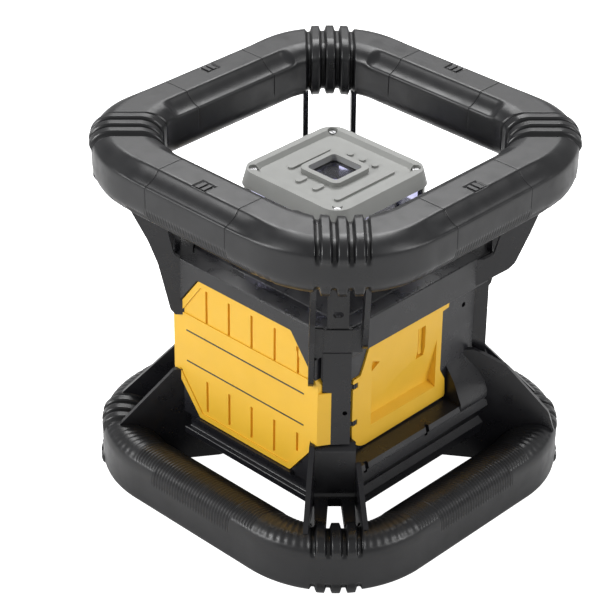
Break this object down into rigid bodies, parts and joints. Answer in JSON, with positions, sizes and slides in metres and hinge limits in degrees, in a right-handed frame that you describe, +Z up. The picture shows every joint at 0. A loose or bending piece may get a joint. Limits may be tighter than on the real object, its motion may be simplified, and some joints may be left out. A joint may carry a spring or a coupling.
{
  "type": "rotating laser level",
  "caption": "Self-levelling rotary laser with a square rubber-gripped roll cage, octagonal side covers, battery door, keypad and a glazed rotating beam head.",
  "frame": {"origin": "on the floor plane, at the centre of the lower ring, under the turret axis", "axes": "+Z up along the rotor axis, front cover faces -Y, battery door faces +X, keypad faces +Y, side thread faces -X"},
  "size_m": [0.267, 0.267, 0.2574],
  "materials": {
    "grip_rubber": "satin moulded rubber",
    "bumper_rubber": "satin moulded rubber",
    "core_plastic": "moulded",
    "cage_plastic": "semi-gloss moulded",
    "shell_plastic": "fine moulded grain",
    "cover_yellow": "satin moulded",
    "keypad_plastic": "fine grain",
    "button_rubber": "matte keypad rubber",
    "lamp_lens": "clear",
    "bay_plastic": "moulded",
    "pack_plastic": "moulded",
    "cap_grey": "painted satin",
    "turret_plastic": "semi-gloss",
    "window_glass": "clear",
    "prism_glass": "blue-violet coated",
    "seal_rubber": "matte",
    "steel": "turned",
    "black_steel": "blackened, turned",
    "brass": "turned",
    "aluminium": "machined",
    "rotor_plastic": "moulded",
    "motor_steel": "drawn can",
    "board_green": "solder mask"
  },
  "bodies": {
    "instrument": {"base_plate": "shell_plastic", "battery_bay": "bay_plastic", "battery_contacts": "brass", "battery_pack": "pack_plastic", "cap_gasket": "seal_rubber", "cap_screws": "steel", "cap_window": "window_glass", "circuit_board": "board_green", "door_hinge_pin": "black_steel", "front_cover": "cover_yellow", "gimbal_mount": "aluminium", "housing": "shell_plastic", "indicator_lens": "lamp_lens", "keypad_panel": "keypad_plastic", "left_cover": "cover_yellow", "level_motors": "motor_steel", "lower_bracket_back_left": "cage_plastic", "lower_bracket_back_right": "cage_plastic", "lower_bracket_front_left": "cage_plastic", "lower_bracket_front_right": "cage_plastic", "lower_bumpers": "bumper_rubber", "lower_ring_core": "core_plastic", "lower_ring_grip": "grip_rubber", "shell_belt": "cage_plastic", "side_insert": "brass", "side_shelf": "cage_plastic", "top_deck": "shell_plastic", "tripod_insert": "brass", "turret_cap": "cap_grey", "turret_frame": "turret_plastic", "upper_bracket_back_left": "cage_plastic", "upper_bracket_back_right": "cage_plastic", "upper_bracket_front_left": "cage_plastic", "upper_bracket_front_right": "cage_plastic", "upper_bumpers": "bumper_rubber", "upper_ring_core": "core_plastic", "upper_ring_grip": "grip_rubber", "window_panes": "window_glass"},
    "battery_door": {"battery_door": "cover_yellow"},
    "battery_latch": {"battery_latch": "cover_yellow"},
    "gimbal": {"gimbal_ring": "aluminium", "outer_trunnions": "steel"},
    "chassis": {"level_chassis": "aluminium", "laser_module": "brass", "rotor_bearings": "steel", "drive_motor": "motor_steel", "drive_belt": "seal_rubber"},
    "rotor": {"rotor_hub": "rotor_plastic", "prism_holder": "aluminium", "pentaprism": "prism_glass"},
    "motor_pulley": {"motor_pulley": "rotor_plastic"},
    "level_nut_x": {"level_nut_x": "brass"},
    "level_nut_y": {"level_nut_y": "brass"},
    "level_screw_x": {"level_screw_x": "steel"},
    "level_screw_y": {"level_screw_y": "steel"},
    "button_power": {"button_power": "button_rubber"},
    "button_speed": {"button_speed": "button_rubber"},
    "button_scan": {"button_scan": "button_rubber"},
    "button_slope": {"button_slope": "button_rubber"},
    "button_lock": {"button_lock": "button_rubber"}
  },
  "joints": [
    {"name": "door_hinge", "type": "hinge", "parent": "instrument", "child": "battery_door", "pos_m": [0.073, -0.0562, 0.101], "axis": [0, 0, -1], "range_deg": [0, 100]},
    {"name": "latch_slide", "type": "slide", "parent": "battery_door", "child": "battery_latch", "axis": [0, -1, 0], "range_m": [0, 0.0032], "stiffness_N_per_m": 300},
    {"name": "level_roll", "type": "hinge", "parent": "instrument", "child": "gimbal", "pos_m": [0, 0, 0.14], "axis": [1, 0, 0], "range_deg": [-5, 5]},
    {"name": "level_pitch", "type": "hinge", "parent": "gimbal", "child": "chassis", "pos_m": [0, 0, 0.14], "axis": [0, 1, 0], "range_deg": [-5, 5]},
    {"name": "rotor_spin", "type": "hinge", "parent": "chassis", "child": "rotor", "pos_m": [0, 0, 0.19], "axis": [0, 0, 1], "continuous": true},
    {"name": "pulley_spin", "type": "hinge", "parent": "chassis", "child": "motor_pulley", "pos_m": [-0.02758, 0.02758, 0.164], "axis": [0, 0, 1], "continuous": true},
    {"name": "nut_x_slide", "type": "slide", "parent": "instrument", "child": "level_nut_x", "axis": [1, 0, 0], "range_m": [-0.0068, 0.0068]},
    {"name": "nut_y_slide", "type": "slide", "parent": "instrument", "child": "level_nut_y", "axis": [0, 1, 0], "range_m": [-0.0068, 0.0068]},
    {"name": "screw_x_spin", "type": "hinge", "parent": "instrument", "child": "level_screw_x", "pos_m": [0, 0.0205, 0.0655], "axis": [1, 0, 0], "range_deg": [-1300, 1300]},
    {"name": "screw_y_spin", "type": "hinge", "parent": "instrument", "child": "level_screw_y", "pos_m": [-0.0205, 0, 0.0715], "axis": [0, 1, 0], "range_deg": [-1300, 1300]},
    {"name": "power_press", "type": "slide", "parent": "instrument", "child": "button_power", "axis": [0, -1, 0], "range_m": [0, 0.0012], "stiffness_N_per_m": 400},
    {"name": "speed_press", "type": "slide", "parent": "instrument", "child": "button_speed", "axis": [0, -1, 0], "range_m": [0, 0.0012], "stiffness_N_per_m": 400},
    {"name": "scan_press", "type": "slide", "parent": "instrument", "child": "button_scan", "axis": [0, -1, 0], "range_m": [0, 0.0012], "stiffness_N_per_m": 400},
    {"name": "slope_press", "type": "slide", "parent": "instrument", "child": "button_slope", "axis": [0, -1, 0], "range_m": [0, 0.0012], "stiffness_N_per_m": 400},
    {"name": "lock_press", "type": "slide", "parent": "instrument", "child": "button_lock", "axis": [0, -1, 0], "range_m": [0, 0.0012], "stiffness_N_per_m": 400}
  ],
  "couplings": [
    {"joint": "pulley_spin", "follows": "rotor_spin", "ratio": 3.4889},
    {"joint": "nut_x_slide", "follows": "level_pitch", "m_per_rad": -0.077},
    {"joint": "screw_x_spin", "follows": "level_pitch", "ratio": -241.9},
    {"joint": "nut_y_slide", "follows": "level_roll", "m_per_rad": 0.071},
    {"joint": "screw_y_spin", "follows": "level_roll", "ratio": 223.05}
  ]
}
